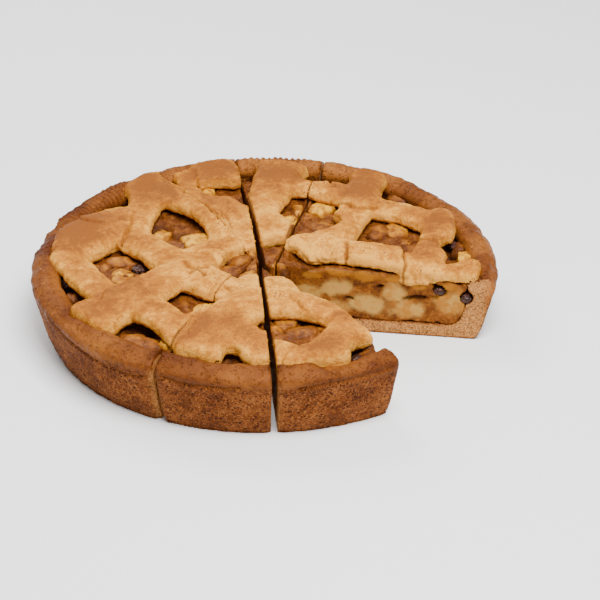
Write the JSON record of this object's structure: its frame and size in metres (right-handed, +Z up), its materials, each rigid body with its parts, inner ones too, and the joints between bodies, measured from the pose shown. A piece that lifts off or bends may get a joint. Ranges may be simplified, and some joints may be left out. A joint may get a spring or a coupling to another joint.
{
  "type": "apple pie",
  "caption": "Deep round apple pie with a lattice top, cut into slices that stand in their round, with a gap of one slice that shows the filling.",
  "frame": {"origin": "centre of the pie's round, on the surface that it stands on", "axes": "+Z up, -Y towards the side that faces the camera in the picture, +X to the right of it"},
  "size_m": [0.2792, 0.2792, 0.0505],
  "materials": {
    "crust": "stands for baked shortcrust, brown outside and pale where it is cut",
    "lattice": "stands for baked dough, golden tan with a low sheen",
    "filling": "stands for set apple juice with apple dice, moist and glossy",
    "raisin": "stands for raisins, near black and moist"
  },
  "bodies": {
    "root": {"crust_1": "crust", "crust_2": "crust", "crust_3": "crust", "crust_4": "crust", "crust_5": "crust", "crust_6": "crust", "filling_1": "filling", "filling_2": "filling", "filling_3": "filling", "filling_4": "filling", "filling_5": "filling", "filling_6": "filling", "lattice_1_a": "lattice", "lattice_2_a": "lattice", "lattice_3_a": "lattice", "lattice_4_a": "lattice", "lattice_5_a": "lattice", "lattice_6_a": "lattice", "raisin_back_a": "raisin", "raisin_back_b": "raisin", "raisin_cut": "raisin", "raisin_cut_wall": "raisin", "raisin_front": "raisin", "raisin_left": "raisin", "raisin_left_rim": "raisin", "raisin_right": "raisin"}
  },
  "joints": []
}
